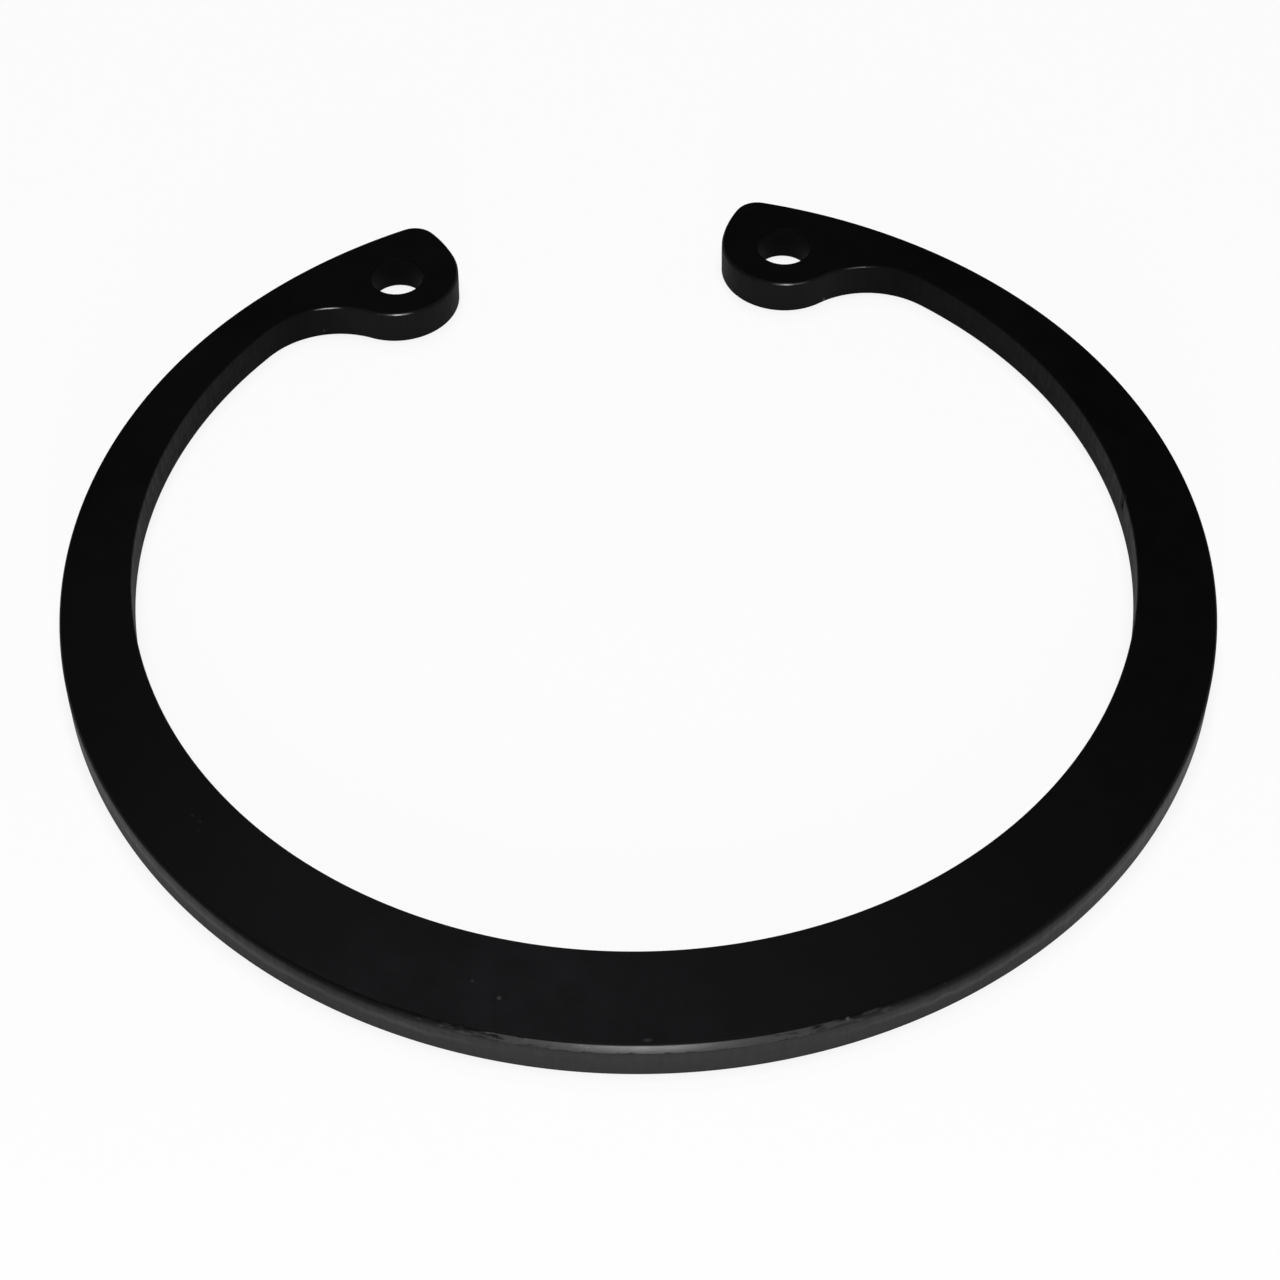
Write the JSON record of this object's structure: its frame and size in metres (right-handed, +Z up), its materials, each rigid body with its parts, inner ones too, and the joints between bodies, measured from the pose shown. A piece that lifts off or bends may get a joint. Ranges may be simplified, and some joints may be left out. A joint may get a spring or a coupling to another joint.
{
  "type": "internal retaining ring",
  "caption": "Flat C-shaped retaining ring of blackened spring steel for a groove in a bore, its beam tapering to inward lugs with plier holes.",
  "frame": {"origin": "centre of the rim circle, on the underside", "axes": "+Z up out of the face with the drawn-down edges, +Y towards the gap, +X towards the right-hand lug"},
  "size_m": [0.0504, 0.049, 0.0018],
  "materials": {
    "blackened_steel": "black phosphate and oil over stamped spring steel, satin, with paler sheared edges"
  },
  "bodies": {
    "root": {"retaining_ring": "blackened_steel"}
  },
  "joints": []
}
